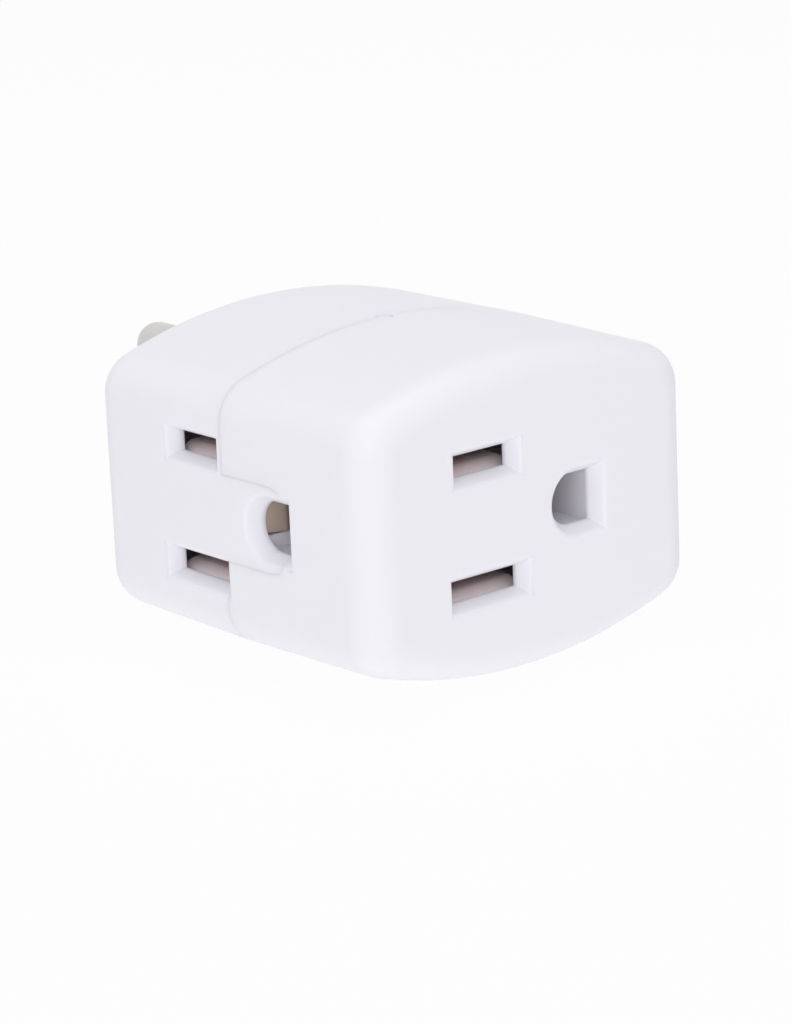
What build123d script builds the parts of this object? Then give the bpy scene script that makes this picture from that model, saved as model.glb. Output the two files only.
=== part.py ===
from build123d import *
import os

os.makedirs("parts", exist_ok=True)

# Three-outlet earthed plug-in adapter, in millimetres.
# Origin: middle of the plug face. +Y points into the wall outlet, -Y is the front, +Z is up.

# Housing
body_width = 43.9
body_height = 33.6
side_height = 25.1
rear_depth = 22.0
front_depth = 22.4
draft_angle = 0.75
corner_radius = 4.5
face_radius = 3.7
wall = 2.0
back_wall = 3.0

# Joint between the two shells
seam_width = 0.2
seam_depth = 0.3
tongue_height = 9.0
tongue_gap = 0.12
tongue_tip_step = 0.25
lip_length = 1.5
lip_thickness = 0.9
lip_span = 28.0
fit_gap = 0.1
gate_diameter = 2.0
gate_depth = 0.3

# Outlet pattern, the same on all three faces
blade_pitch = 12.7
earth_offset = 11.89
front_blade_x = -6.1
side_blade_offset = 5.0
line_slot = 7.3
neutral_slot = 9.05
slot_height = 2.35
earth_radius = 2.7
earth_flat = 2.7
flare_depth = 1.4
slot_flare = 0.75
earth_flare = 0.9
guide_wall = 1.0
guide_depth = 8.2
guide_reach = 1.0
sill_gap = 0.2
cut_over = 2.0

# Plug
plug_earth_height = 7.9
line_blade_width = 6.35
neutral_blade_width = 7.94
blade_thickness = 1.5
blade_length = 17.5
blade_corner = 1.2
blade_bevel = 0.45
blade_hole_diameter = 3.2
blade_hole_distance = 11.7
shoulder_step = 1.2
shoulder_length = 2.5
tail_length = 4.0
tail_width = 6.0
pin_diameter = 4.8
pin_root_diameter = 5.4
pin_length = 19.6
pin_collar_diameter = 7.0
pin_collar_length = 1.2
pin_tail_diameter = 3.0
pin_tail_head_diameter = 4.4
pin_tail_head = 0.8

# Spring contacts, brass strips and rivets
mouth_gap = 0.4
lip_flare = 0.4
clip_overlap = 1.0
leaf_thickness = 0.45
leaf_bend = 1.0
blade_clip_depth = 18.2
blade_clip_throat = 1.3
blade_clip_pinch = 1.0
blade_clip_base = 2.4
blade_clip_throat_at = 3.5
blade_clip_pinch_at = 6.5
blade_clip_base_at = 11.0
earth_leaf_thickness = 0.6
earth_clip_depth = 13.8
earth_clip_pinch_at = 11.0
earth_lead_flare = 0.7
earth_lip = 4.9
earth_lip_at = 4.7
earth_clip_pinch = 3.6
earth_clip_tail = 4.4
earth_clip_top = 2.0
earth_lead_bottom = -1.45
earth_floor_top = -2.6
bar_thickness = 0.8
bar_width = 5.0
bar_bend = 0.6
blade_rivet_at = 14.0
rivet_diameter = 1.8
rivet_head_diameter = 3.0
rivet_head = 0.6
rivet_gap = 0.05
rib_thickness = 1.2
rib_length = 5.0

# Places worked out from the sizes above
half_width = body_width / 2
body_depth = rear_depth + front_depth
parting_y = -rear_depth
line_y = blade_pitch / 2
neutral_y = -line_y
mouth_depth = wall + mouth_gap
plug_blade_z = plug_earth_height - earth_offset
plug_blade_x = blade_pitch / 2
earth_flange = earth_radius + guide_wall
earth_clip_front = guide_depth + mouth_gap

left_y = parting_y + side_blade_offset
right_y = parting_y - side_blade_offset
outlets = {
    "front": Plane((front_blade_x, -body_depth, 0), x_dir=(1, 0, 0), z_dir=(0, -1, 0)),
    "left": Plane((-half_width, left_y, 0), x_dir=(0, -1, 0), z_dir=(-1, 0, 0)),
    "right": Plane((half_width, right_y, 0), x_dir=(0, 1, 0), z_dir=(1, 0, 0)),
}
front_half = Plane((0, parting_y, 0), x_dir=(1, 0, 0), z_dir=(0, -1, 0))
rear_half = Plane((0, parting_y, 0), x_dir=(-1, 0, 0), z_dir=(0, 1, 0))


# Small helpers
def block(low, high):
    """Box between two opposite corners."""
    size = [b - a for a, b in zip(low, high)]
    centre = [(a + b) / 2 for a, b in zip(low, high)]
    return Pos(*centre) * Box(*size)


def seat(outlet, shape):
    """Shape drawn on an outlet's own axes (x to the right, y up, z outwards), put on its face."""
    return outlets[outlet].location * shape


def seat_point(outlet, x, depth):
    """Place in plan of a point at x along an outlet and at a depth behind its face."""
    point = outlets[outlet].from_local_coords(Vector(x, 0, -depth))
    return point.X, point.Y


def formed(points, radius, thickness, width, side):
    """Sheet folded along a line in the XY plane with rounded bends, its width along +Z."""
    fold = FilletPolyline(*points, radius=radius).wire()
    profile = make_face(fold.offset_2d(thickness, Kind.ARC, side, closed=True))
    return extrude(profile, width, dir=(0, 0, 1))


# Brass strips: levels and rivet places
line_bar_inner = line_y + blade_clip_base / 2 + leaf_thickness
line_bar_outer = line_bar_inner + bar_thickness
neutral_bar_inner = neutral_y - blade_clip_base / 2 - leaf_thickness
neutral_bar_outer = neutral_bar_inner - bar_thickness
ground_bar_inner = earth_floor_top - earth_leaf_thickness
ground_bar_outer = ground_bar_inner - bar_thickness

earth_rivet_at = (earth_clip_front + earth_clip_depth) / 2
blade_points = {name: seat_point(name, 0, blade_rivet_at) for name in outlets}
earth_points = {name: seat_point(name, earth_offset, earth_rivet_at) for name in outlets}

shoulder_y = -back_wall
tail_y = shoulder_y - shoulder_length
tab_rear = tail_y - 2 * fit_gap
tab_front = tail_y - tail_length
tab_rivet_y = (tab_rear + tab_front) / 2
line_tab_x = -plug_blade_x - blade_thickness / 2
neutral_tab_x = plug_blade_x + blade_thickness / 2
earth_tab_rear = -back_wall - pin_collar_length
earth_tab_front = earth_tab_rear - bar_thickness
earth_tab_top = plug_earth_height + bar_width / 2
neck_front = blade_points["left"][1]

rear_line_rib = (line_tab_x - bar_thickness + bar_width / 2, (neck_front + bar_width / 2 + tab_front) / 2)
rear_neutral_rib = (neutral_tab_x + bar_thickness - bar_width / 2, rear_line_rib[1])
front_rib = ((blade_points["front"][0] + blade_points["right"][0]) / 2, blade_points["right"][1])


# Housing: barrel section with crowned top and bottom, drafted away from the parting plane
def barrel_section(inset):
    width = half_width - inset
    side = side_height / 2 - inset
    crown = body_height / 2 - inset
    outline = Curve() + [
        ThreePointArc((-width, side), (0, crown), (width, side)),
        Line((width, side), (width, -side)),
        ThreePointArc((width, -side), (0, -crown), (-width, -side)),
        Line((-width, -side), (-width, side)),
    ]
    face = make_face(outline)
    return fillet(face.vertices(), corner_radius - inset)


def barrel(plane, depth, inset):
    """One drafted half of the barrel with its end edge rounded."""
    solid = extrude(plane * barrel_section(inset), depth, taper=draft_angle)
    end = solid.faces().sort_by(Axis(plane.origin, plane.z_dir))[-1]
    return fillet(end.edges(), face_radius - inset)


# Outlet openings
def slot_mouth(length, grow):
    return Rectangle(length + 2 * grow, slot_height + 2 * grow)


def earth_mouth(grow):
    """D-shaped earth hole: round towards the blades, flat on the far side."""
    radius = earth_radius + grow
    flat = earth_flat + grow
    outline = Curve() + [
        ThreePointArc((0, radius), (-radius, 0), (0, -radius)),
        Line((0, -radius), (flat, -radius)),
        Line((flat, -radius), (flat, radius)),
        Line((flat, radius), (0, radius)),
    ]
    return make_face(outline)


def funnel(mouth, flare):
    """Cutter of one opening: flared from the face inwards, then straight through the wall."""
    spread = flare * (1 + cut_over / flare_depth)
    hole = extrude(mouth(0), -mouth_depth)
    entry = loft([Pos(0, 0, -flare_depth) * mouth(0), Pos(0, 0, cut_over) * mouth(spread)], ruled=True)
    return hole + entry


def outlet_cutter():
    line = funnel(lambda grow: slot_mouth(line_slot, grow), slot_flare)
    neutral = funnel(lambda grow: slot_mouth(neutral_slot, grow), slot_flare)
    earth = funnel(earth_mouth, earth_flare)
    return [Pos(0, line_y, 0) * line, Pos(0, neutral_y, 0) * neutral, Pos(earth_offset, 0, 0) * earth]


def earth_guide():
    """Channel behind the earth hole; towards the blades it is a low sill under the contact leaf."""
    far = guide_depth + cut_over
    over = earth_flange + cut_over
    sill_top = earth_lead_bottom - sill_gap
    outer = earth_flat + guide_wall
    walls = block((-earth_flange, -earth_flange, -guide_depth), (outer, earth_flange, -wall / 2))
    channel = block((-earth_radius, -earth_radius, -far), (earth_flat, earth_radius, 0))
    leaf_side = block((-over, sill_top, -far), (-guide_reach, over, 0))
    return Pos(earth_offset, 0, 0) * (walls - channel - leaf_side)


def tongue(gap):
    """Wall that one shell reaches round the earth hole of a side outlet, into the other shell."""
    height = tongue_height + 2 * gap
    root = side_blade_offset - wall
    end = earth_offset + earth_flat - tongue_tip_step + gap
    strap = Pos((root + earth_offset) / 2, 0) * Rectangle(earth_offset - root, height)
    outline = strap + Pos(earth_offset, 0) * Circle(height / 2)
    keep = Pos((root + end) / 2, 0) * Rectangle(end - root, height)
    return extrude(Pos(0, 0, cut_over) * (outline & keep), -cut_over - wall - fit_gap - gap)


# The two shells
def seam_groove():
    """Fine groove that runs round the body where the shells meet."""
    section = barrel_section(0) - barrel_section(seam_depth)
    ring = extrude(front_half * section, seam_width / 2, both=True)
    for side in ("left", "right"):
        ring -= seat(side, tongue(0))
    return ring


def lip(gap):
    """Inner lip of the front shell along the crowned walls, and with a gap the rebate that takes it."""
    outer = barrel(rear_half, rear_depth, wall - lip_thickness - gap)
    band = outer - barrel(rear_half, rear_depth, wall)
    half_span = lip_span / 2 + gap
    reach = parting_y + lip_length + gap
    return band & block((-half_span, parting_y, -body_height), (half_span, reach, body_height))


def hold_down(x, y, side, bar_face, shell_outer):
    """Rib from a crowned wall to the outer face of a brass strip; side is 1 for the top."""
    low, high = sorted((bar_face, side * body_height))
    half_length = rib_length / 2
    half_thickness = rib_thickness / 2
    return shell_outer & block(
        (x - half_length, y - half_thickness, low), (x + half_length, y + half_thickness, high))


def plug_openings():
    depth = 2 * (back_wall + cut_over)
    thickness = blade_thickness + 2 * fit_gap
    line_cut = Box(thickness, depth, line_blade_width + 2 * fit_gap)
    neutral_cut = Box(thickness, depth, neutral_blade_width + 2 * fit_gap)
    pin_cut = Rot(X=90) * Cylinder(pin_root_diameter / 2 + fit_gap, depth)
    return [
        Pos(-plug_blade_x, 0, plug_blade_z) * line_cut,
        Pos(plug_blade_x, 0, plug_blade_z) * neutral_cut,
        Pos(0, 0, plug_earth_height) * pin_cut,
    ]


def make_shells():
    rear_outer = barrel(rear_half, rear_depth, 0)
    front_outer = barrel(front_half, front_depth, 0)
    rear_wall = rear_outer - barrel(rear_half, rear_depth - back_wall, wall)
    front_wall = front_outer - barrel(front_half, front_depth - wall, wall)

    rear = rear_wall + seat("right", earth_guide()) - lip(fit_gap)
    front = front_wall + seat("front", earth_guide()) + seat("left", earth_guide()) + lip(0)
    rear += hold_down(*rear_line_rib, 1, line_bar_outer, rear_outer)
    rear += hold_down(*rear_neutral_rib, -1, neutral_bar_outer, rear_outer)
    front += hold_down(*front_rib, 1, line_bar_outer, front_outer)
    front += hold_down(*front_rib, -1, neutral_bar_outer, front_outer)

    left_tongue = front_wall & seat("left", tongue(0))
    right_tongue = rear_wall & seat("right", tongue(0))
    rear = rear - seat("right", tongue(tongue_gap)) + left_tongue
    front = front - seat("left", tongue(tongue_gap)) + right_tongue

    cutters = [seam_groove()]
    cutters += [seat(name, cutter) for name in outlets for cutter in outlet_cutter()]
    crown = Pos(0, parting_y, body_height / 2)
    cutters.append(crown * Cylinder(gate_diameter / 2, 2 * gate_depth))
    rear -= cutters + plug_openings()
    front -= cutters
    return rear, front


# Brass strips
def leg(start, end, width, level, side):
    """Flat strip between two points in plan, square-ended half a strip past each point."""
    half = width / 2
    low = (min(start[0], end[0]) - half, min(start[1], end[1]) - half)
    high = (max(start[0], end[0]) + half, max(start[1], end[1]) + half)
    bottom, top = sorted((level, level + side * bar_thickness))
    return block((*low, bottom), (*high, top))


def upright_hole(point, level):
    return Pos(*point, level) * Cylinder(rivet_diameter / 2 + rivet_gap, 2 * (bar_thickness + cut_over))


def cross_hole(x, z):
    radius = rivet_diameter / 2 + rivet_gap
    return Pos(x, tab_rivet_y, z) * Rot(Y=90) * Cylinder(radius, 2 * (blade_thickness + cut_over))


def blade_bar(inner, side, tab_x, tab_side):
    """Strip that joins the three clips of one pole to its plug blade; side is 1 above the clips."""
    front, left, right = (blade_points[name] for name in ("front", "left", "right"))
    neck_x = tab_x + tab_side * (bar_thickness - bar_width / 2)
    corner = right if tab_side > 0 else (neck_x, neck_front)
    bar = leg(front, (front[0], left[1]), bar_width, inner, side)
    bar += leg((front[0], left[1]), left, bar_width, inner, side)
    bar += leg((front[0], right[1]), right, bar_width, inner, side)
    neck_end = (neck_x, tab_front + bar_thickness - bar_width / 2)
    bar += leg((neck_x, corner[1]), neck_end, bar_width, inner, side)
    tab_plane = Plane((0, tab_rear, 0), x_dir=(1, 0, 0), z_dir=(0, -1, 0))
    tab_end = plug_blade_z - side * tail_width / 2
    points = [(tab_x - tab_side * (bar_width - bar_thickness), inner), (tab_x, inner), (tab_x, tab_end)]
    bar += tab_plane.location * formed(points, bar_bend, bar_thickness, tab_rear - tab_front, Side.RIGHT)
    bar -= [upright_hole(point, inner) for point in (front, left, right)]
    return bar - cross_hole(tab_x, plug_blade_z)


def ground_bar():
    front, left, right = (earth_points[name] for name in ("front", "left", "right"))
    bar = leg(left, (front[0], left[1]), bar_width, ground_bar_inner, -1)
    bar += leg((front[0], left[1]), front, bar_width, ground_bar_inner, -1)
    bar += leg((0, left[1]), (0, right[1]), bar_width, ground_bar_inner, -1)
    bar += leg((0, right[1]), right, bar_width, ground_bar_inner, -1)
    tab_plane = Plane((-bar_width / 2, 0, 0), x_dir=(0, 1, 0), z_dir=(1, 0, 0))
    bend = (earth_tab_front, ground_bar_inner)
    points = [(right[1], ground_bar_inner), bend, (earth_tab_front, earth_tab_top)]
    bar += tab_plane.location * formed(points, bar_bend, bar_thickness, bar_width, Side.RIGHT)
    bar -= [upright_hole(point, ground_bar_inner) for point in (front, left, right)]
    hole = Rot(X=90) * Cylinder(pin_tail_diameter / 2 + rivet_gap, 2 * (bar_thickness + cut_over))
    return bar - Pos(0, earth_tab_front, plug_earth_height) * hole


# Spring contacts, drawn on the outlet's own axes
def blade_clip(slot, height, side):
    """Hairpin that grips a plug blade: flared lips, throat, pinch, flat base and round back."""
    width = slot + 2 * clip_overlap
    upper = [
        (mouth_depth, slot_height / 2 + lip_flare),
        (blade_clip_throat_at, blade_clip_throat / 2),
        (blade_clip_pinch_at, blade_clip_pinch / 2),
        (blade_clip_base_at, blade_clip_base / 2),
        (blade_clip_depth - leaf_thickness, blade_clip_base / 2),
    ]
    lower = [(depth, -gap) for depth, gap in reversed(upper)]
    hairpin = formed(upper + lower, leaf_bend, leaf_thickness, width, Side.LEFT)
    plane = Plane((-width / 2, height, 0), x_dir=(0, 0, -1), z_dir=(1, 0, 0))
    hole = Rot(X=90) * Cylinder(rivet_diameter / 2 + rivet_gap, 2 * (leaf_thickness + rivet_gap))
    return plane.location * hairpin - Pos(0, height + side * blade_clip_base / 2, -blade_rivet_at) * hole


def earth_clip():
    """Channel that grips a round earth pin, with one leaf carried forward to the hole."""
    level = earth_floor_top - earth_leaf_thickness
    half_floor = earth_clip_pinch / 2 + earth_leaf_thickness
    clip = block(
        (earth_offset - half_floor, level, -earth_clip_depth),
        (earth_offset + half_floor, earth_floor_top, -earth_clip_front))
    mouth = (earth_clip_front, earth_radius)
    pinch = (earth_clip_pinch_at, earth_clip_pinch / 2)
    for side in (-1, 1):
        clip += earth_leaf([mouth, pinch, (earth_clip_depth, earth_clip_tail / 2)], side, level)
    lead = [(mouth_depth, earth_radius + earth_lead_flare), (earth_lip_at, earth_lip / 2), mouth, pinch]
    clip += earth_leaf(lead, -1, earth_lead_bottom)
    hole = Rot(X=90) * Cylinder(rivet_diameter / 2 + rivet_gap, 2 * (earth_leaf_thickness + rivet_gap))
    return clip - Pos(earth_offset, earth_floor_top, -earth_rivet_at) * hole


def earth_leaf(path, side, bottom):
    """Upright leaf along (depth, distance from the pin axis) points, on one side of the pin."""
    points = [(depth, -side * gap) for depth, gap in path]
    outside = Side.RIGHT if side > 0 else Side.LEFT
    leaf = formed(points, leaf_bend, earth_leaf_thickness, earth_clip_top - bottom, outside)
    plane = Plane((earth_offset, bottom, 0), x_dir=(0, 0, -1), z_dir=(0, 1, 0))
    return plane.location * leaf


# Plug blades and earth pin
def plug_blade(x, width):
    half = width / 2
    tail = tail_width / 2
    shoulder = half + shoulder_step
    lower = [
        (tab_front, -tail), (tail_y, -tail), (tail_y, -shoulder), (shoulder_y, -shoulder),
        (shoulder_y, -half), (blade_length - blade_corner, -half), (blade_length, blade_corner - half),
    ]
    upper = [(along, -across) for along, across in reversed(lower)]
    plane = Plane((x - blade_thickness / 2, 0, plug_blade_z), x_dir=(0, 1, 0), z_dir=(1, 0, 0))
    blade = extrude(plane * make_face(Polyline(*lower, *upper, close=True)), blade_thickness)
    ends = blade.edges().filter_by(Axis.Z).group_by(Axis.Y)[-1]
    blade = chamfer(ends, blade_bevel)
    hole = Rot(Y=90) * Cylinder(blade_hole_diameter / 2, blade_thickness + 2 * cut_over)
    return blade - Pos(x, blade_hole_distance, plug_blade_z) * hole - cross_hole(x, plug_blade_z)


def earth_pin():
    """Round pin with a domed end, a root and collar in the plug face and a riveted tail."""
    radius = pin_diameter / 2
    root = pin_root_diameter / 2
    collar = pin_collar_diameter / 2
    tail = pin_tail_diameter / 2
    head = pin_tail_head_diameter / 2
    head_end = earth_tab_front - pin_tail_head
    outline = Curve() + [
        Polyline(
            (0, head_end), (head, head_end), (head, earth_tab_front), (tail, earth_tab_front),
            (tail, earth_tab_rear), (collar, earth_tab_rear), (collar, -back_wall), (root, -back_wall),
            (root, 0), (radius, 0), (radius, pin_length - radius)),
        RadiusArc((radius, pin_length - radius), (0, pin_length), -radius),
        Line((0, pin_length), (0, head_end)),
    ]
    return Pos(0, 0, plug_earth_height) * revolve(make_face(outline), Axis.Y)


# Rivets: domed head on the strip, flush on the other side
def rivet(length):
    """Rivet along -Z from the origin, with its head above the origin."""
    head = Pos(0, 0, rivet_head / 2) * Cylinder(rivet_head_diameter / 2, rivet_head)
    rim = head.edges().sort_by(Axis.Z)[-1]
    shank = Pos(0, 0, -length / 2) * Cylinder(rivet_diameter / 2, length)
    return fillet(rim, rivet_head / 2) + shank


def blade_rivets(outer, side, tab_x, tab_side):
    clip_rivet = rivet(bar_thickness + leaf_thickness)
    turn = Rot(X=0 if side > 0 else 180)
    group = [Pos(*blade_points[name], outer) * turn * clip_rivet for name in outlets]
    tab_rivet = Rot(Y=90 * tab_side) * rivet(bar_thickness + blade_thickness)
    group.append(Pos(tab_x + tab_side * bar_thickness, tab_rivet_y, plug_blade_z) * tab_rivet)
    return Compound(group)


def ground_rivets():
    clip_rivet = Rot(X=180) * rivet(bar_thickness + earth_leaf_thickness)
    return Compound([Pos(*earth_points[name], ground_bar_outer) * clip_rivet for name in outlets])


rear_shell, front_shell = make_shells()
pieces = {
    "rear_shell": rear_shell,
    "front_shell": front_shell,
    "line_blade": plug_blade(-plug_blade_x, line_blade_width),
    "neutral_blade": plug_blade(plug_blade_x, neutral_blade_width),
    "ground_pin": earth_pin(),
    "line_busbar": blade_bar(line_bar_inner, 1, line_tab_x, -1),
    "neutral_busbar": blade_bar(neutral_bar_inner, -1, neutral_tab_x, 1),
    "ground_busbar": ground_bar(),
    "line_rivets": blade_rivets(line_bar_outer, 1, line_tab_x, -1),
    "neutral_rivets": blade_rivets(neutral_bar_outer, -1, neutral_tab_x, 1),
    "ground_rivets": ground_rivets(),
}
for name in outlets:
    pieces[f"line_contact_{name}"] = seat(name, blade_clip(line_slot, line_y, 1))
    pieces[f"neutral_contact_{name}"] = seat(name, blade_clip(neutral_slot, neutral_y, -1))
    pieces[f"ground_contact_{name}"] = seat(name, earth_clip())

for node, solid in pieces.items():
    export_step(solid, f"parts/{node}.step")
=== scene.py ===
"""Looks of a three-outlet plug-in adapter: white moulded shells, plated prongs and spring contacts."""

import logging
import math
from collections.abc import Callable, Iterator
from contextlib import contextmanager
from dataclasses import dataclass, field
from enum import Enum
from typing import Any

import bmesh
import bpy
from mathutils import Euler, Matrix, Vector


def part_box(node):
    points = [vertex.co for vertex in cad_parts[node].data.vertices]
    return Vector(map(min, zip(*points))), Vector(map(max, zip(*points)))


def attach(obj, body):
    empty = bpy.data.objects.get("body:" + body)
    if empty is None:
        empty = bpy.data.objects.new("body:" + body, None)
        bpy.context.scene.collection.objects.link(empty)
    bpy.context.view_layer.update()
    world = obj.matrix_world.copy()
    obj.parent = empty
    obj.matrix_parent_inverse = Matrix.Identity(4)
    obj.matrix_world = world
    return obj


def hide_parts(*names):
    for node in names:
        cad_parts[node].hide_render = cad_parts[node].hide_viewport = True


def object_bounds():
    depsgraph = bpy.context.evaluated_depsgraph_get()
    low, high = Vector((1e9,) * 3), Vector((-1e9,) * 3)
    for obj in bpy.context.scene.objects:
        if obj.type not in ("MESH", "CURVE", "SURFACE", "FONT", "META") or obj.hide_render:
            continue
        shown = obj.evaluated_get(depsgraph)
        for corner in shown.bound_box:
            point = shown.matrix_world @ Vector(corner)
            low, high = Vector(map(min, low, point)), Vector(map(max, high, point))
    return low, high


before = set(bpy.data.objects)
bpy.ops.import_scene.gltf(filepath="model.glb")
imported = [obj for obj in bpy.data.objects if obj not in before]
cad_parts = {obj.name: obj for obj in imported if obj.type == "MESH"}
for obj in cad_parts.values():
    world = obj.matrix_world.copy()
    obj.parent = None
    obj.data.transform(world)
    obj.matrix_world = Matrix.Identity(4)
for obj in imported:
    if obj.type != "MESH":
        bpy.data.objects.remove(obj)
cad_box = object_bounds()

log = logging.getLogger("adapter")

Pair = tuple[float, float]
Triple = tuple[float, float, float]
Numbers = tuple[float, ...]
Material = bpy.types.Material

BODY = "root"
MILLIMETRE = 0.001
SAME_PLACE = 1e-3
FLAT_ANGLE = math.radians(0.1)
SHADE_ANGLE = math.radians(35)
NORMAL_WEIGHT = 100
ROUND_PROFILE = 0.5
SOFT_STEPS = 2
NOISE_MEAN = 0.5
WHITE = (1, 1, 1, 1)
BLADE_WIDTHS = {"line_blade": 6.35, "neutral_blade": 7.94}
PIN_ROOT_RADIUS = 2.7


class Pick(Enum):
    """Which kind of mesh element an edit works on."""

    VERTEX = "VERT"
    EDGE = "EDGE"
    FACE = "FACE"


class Cut(Enum):
    """How one solid is combined with another."""

    JOIN = "UNION"
    REMOVE = "DIFFERENCE"
    KEEP = "INTERSECT"


class Slot(Enum):
    """The record's material slots, named for the new pieces."""

    PLASTIC = "white_plastic"
    PLATED = "plated_brass"
    SPRING = "contact_bronze"


class Face(Enum):
    """The three faces that carry an outlet."""

    FRONT = "front"
    LEFT = "left"
    RIGHT = "right"


def turned(x: float = 0, y: float = 0, z: float = 0) -> Matrix:
    """Turn about the three axes, in degrees."""
    return Euler([math.radians(angle) for angle in (x, y, z)]).to_matrix().to_4x4()


class Workpiece:
    """A solid on the bench, worked on in millimetres and finished in metres."""

    def __init__(self, name: str) -> None:
        """Take hold of the primitive that was just added.

        Args:
            name: Name of the piece.
        """
        self.obj = bpy.context.object
        self.obj.name = name
        self.obj.data.name = name
        self.apply_place()

    @staticmethod
    def clear() -> None:
        """Deselect everything, so that an operator acts on one piece alone."""
        bpy.ops.object.select_all(action="DESELECT")

    @classmethod
    def cube(cls, name: str, low: Numbers, high: Numbers) -> "Workpiece":
        """Add a block between two opposite corners.

        Args:
            name: Name of the piece.
            low: Lowest corner.
            high: Highest corner.

        Returns:
            The new block.
        """
        cls.clear()
        size = [b - a for a, b in zip(low, high)]
        middle = [(a + b) / 2 for a, b in zip(low, high)]
        bpy.ops.mesh.primitive_cube_add(size=1, location=middle, scale=size)
        return cls(name)

    @classmethod
    def cylinder(
        cls, name: str, radius: float, base: float, top: float, centre: Pair = (0, 0), sides: int = 64
    ) -> "Workpiece":
        """Add an upright cylinder.

        Args:
            name: Name of the piece.
            radius: Radius of the cylinder.
            base: Height of its lower end.
            top: Height of its upper end.
            centre: Place of its axis in plan.
            sides: Number of sides.

        Returns:
            The new cylinder.
        """
        cls.clear()
        bpy.ops.mesh.primitive_cylinder_add(
            vertices=sides, radius=radius, depth=top - base, location=(*centre, (base + top) / 2)
        )
        return cls(name)

    @classmethod
    def edge(cls, name: str, start: Vector, end: Vector) -> "Workpiece":
        """Add a single edge along Y, as the start of a swept sheet.

        Args:
            name: Name of the piece.
            start: First end of the edge.
            end: Last end of the edge, at the same x and z.

        Returns:
            The new edge.
        """
        cls.clear()
        length = (end - start).length
        middle = (start + end) / 2 - Vector((length / 2, 0, 0))
        bpy.ops.mesh.primitive_plane_add(size=length, location=middle)
        piece = cls(name)
        with piece.editing():
            piece.pick(Pick.VERTEX, lambda vertex: vertex.co.x < start.x - length / 2)
            bpy.ops.mesh.delete(type="VERT")
        return piece

    def apply_place(self) -> None:
        """Put the object's place, turn and scale into its mesh."""
        self.focus()
        bpy.ops.object.transform_apply(location=True, rotation=True, scale=True)

    def focus(self) -> None:
        """Make this the one selected and active object."""
        self.clear()
        self.obj.select_set(True)
        bpy.context.view_layer.objects.active = self.obj

    @contextmanager
    def editing(self) -> Iterator[None]:
        """Hold the piece in edit mode for a few operators.

        Yields:
            Nothing, while the operators run.
        """
        self.focus()
        bpy.ops.object.mode_set(mode="EDIT")
        yield
        bpy.ops.object.mode_set(mode="OBJECT")

    def pick(self, kind: Pick, wanted: Callable[[Any], bool]) -> int:
        """Select the elements that pass a test, in edit mode.

        Args:
            kind: Kind of element to select.
            wanted: Test of one element.

        Returns:
            How many elements were selected.
        """
        bpy.ops.mesh.select_mode(type=kind.value)
        bpy.ops.mesh.select_all(action="DESELECT")
        mesh = bmesh.from_edit_mesh(self.obj.data)
        mesh.normal_update()
        items = {Pick.VERTEX: mesh.verts, Pick.EDGE: mesh.edges, Pick.FACE: mesh.faces}[kind]
        chosen = [item for item in items if wanted(item)]
        for item in chosen:
            item.select_set(True)
        mesh.select_flush_mode()
        bmesh.update_edit_mesh(self.obj.data)
        return len(chosen)

    def pick_facing(self, direction: Vector) -> None:
        """Select the flat faces that look along a unit vector, in edit mode."""
        self.pick(Pick.FACE, lambda face: face.normal.dot(direction) >= 1 - SAME_PLACE)

    @staticmethod
    def at_level(edge: Any, axis: str, level: float) -> bool:
        """Tell whether both points of an edge lie at one level along an axis."""
        return all(abs(getattr(vertex.co, axis) - level) < SAME_PLACE for vertex in edge.verts)

    @staticmethod
    def push(offset: Triple) -> None:
        """Extrude what is selected along an offset, in edit mode."""
        bpy.ops.mesh.extrude_region_move(TRANSFORM_OT_translate={"value": offset})

    @staticmethod
    def stretch(factors: Triple, centre: Vector) -> None:
        """Scale what is selected about a centre, in edit mode."""
        bpy.ops.transform.resize(value=factors, center_override=centre)

    @staticmethod
    def sweep(steps: int, angle: float, centre: Numbers, axis: tuple[int, ...]) -> None:
        """Spin what is selected about an axis through a centre, in edit mode."""
        bpy.ops.mesh.spin(steps=steps, angle=angle, center=centre, axis=axis, use_auto_merge=False)

    @staticmethod
    def round_off(width: float, steps: int) -> None:
        """Round the selected edges, in edit mode."""
        bpy.ops.mesh.bevel(
            offset=width, segments=steps, profile=ROUND_PROFILE, affect="EDGES", clamp_overlap=False)

    @staticmethod
    def clear_flats() -> None:
        """Dissolve the edges inside flat faces, in edit mode."""
        bpy.ops.mesh.select_all(action="SELECT")
        bpy.ops.mesh.dissolve_limited(angle_limit=FLAT_ANGLE)

    def trim(self, point: Numbers, normal: Numbers) -> None:
        """Cut away what lies beyond a plane, on the side its normal points to, and close the cut.

        Args:
            point: A point of the plane.
            normal: Normal of the plane.
        """
        with self.editing():
            bpy.ops.mesh.select_all(action="SELECT")
            bpy.ops.mesh.bisect(plane_co=point, plane_no=normal, use_fill=True, clear_outer=True)

    def modify(self, kind: str, **settings: Any) -> None:
        """Add a modifier and apply it.

        Args:
            kind: Type of the modifier.
            settings: Its settings.
        """
        self.focus()
        modifier = self.obj.modifiers.new(kind.title(), kind)
        for name, value in settings.items():
            setattr(modifier, name, value)
        bpy.ops.object.modifier_apply(modifier=modifier.name)

    def combine(self, cut: Cut, *others: "Workpiece") -> "Workpiece":
        """Combine this solid with others, which are used up.

        Args:
            cut: How they are combined.
            others: The other solids, which lie clear of each other.

        Returns:
            This solid.
        """
        tool = others[0]
        tool.focus()
        for other in others[1:]:
            other.obj.select_set(True)
        if len(others) > 1:
            bpy.ops.object.join()
        self.modify("BOOLEAN", operation=cut.value, object=tool.obj, solver="EXACT")
        tool.discard()
        return self

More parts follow.
